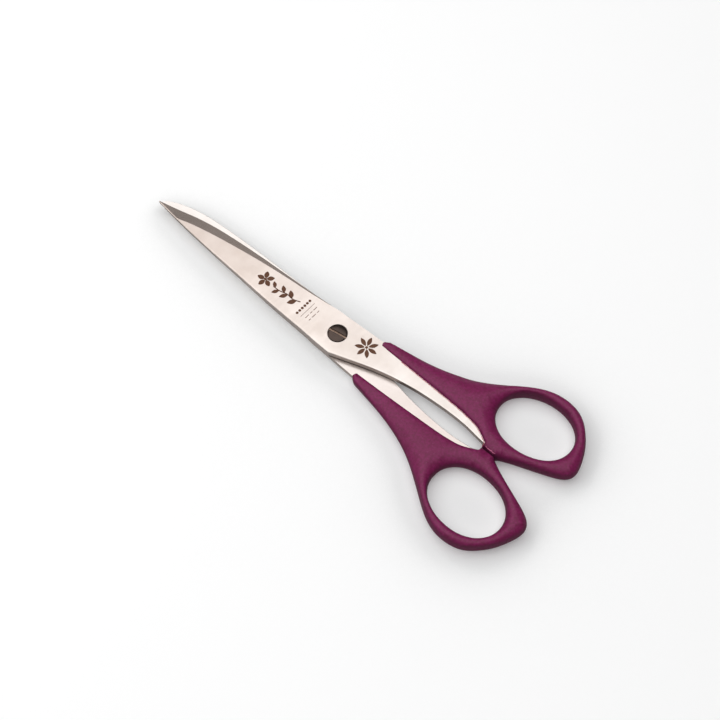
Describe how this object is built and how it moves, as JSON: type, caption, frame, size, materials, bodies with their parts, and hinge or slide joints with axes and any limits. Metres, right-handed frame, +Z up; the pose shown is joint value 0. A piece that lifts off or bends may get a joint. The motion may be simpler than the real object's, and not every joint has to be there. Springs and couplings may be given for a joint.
{
  "type": "craft scissors",
  "caption": "Small plain-edge household and craft scissors: ground steel blades on a slotted pivot screw, with moulded plum plastic finger rings.",
  "frame": {"origin": "on the pivot axis, at the centre of the flat lower end of the pivot screw, level with the rear blade's outer face", "axes": "+X along the closed blades from the pivot to the tips, +Z up along the pivot axis from the rear blade to the front blade's face, +Y completes the right-handed frame, towards the rear handle"},
  "size_m": [0.1576, 0.058, 0.0071],
  "materials": {
    "blade_steel": "fine satin grind, warm highlights, bright broken edges",
    "plum_plastic": "satin moulded plastic with a very fine grain",
    "dark_steel": "dark burnished screw head with a straight slot"
  },
  "bodies": {
    "rear_half": {"rear_blade": "blade_steel", "rear_handle": "plum_plastic"},
    "front_half": {"front_blade": "blade_steel", "front_handle": "plum_plastic"},
    "pivot_screw": {"pivot_screw": "dark_steel"}
  },
  "joints": [
    {"name": "blade_pivot", "type": "hinge", "parent": "rear_half", "child": "front_half", "pos_m": [0, 0, 0.00195], "axis": [0, 0, 1], "range_deg": [0, 120]},
    {"name": "tension_screw", "type": "hinge", "parent": "rear_half", "child": "pivot_screw", "pos_m": [0, 0, 0.00195], "axis": [0, 0, 1], "range_deg": [-45, 45]}
  ]
}
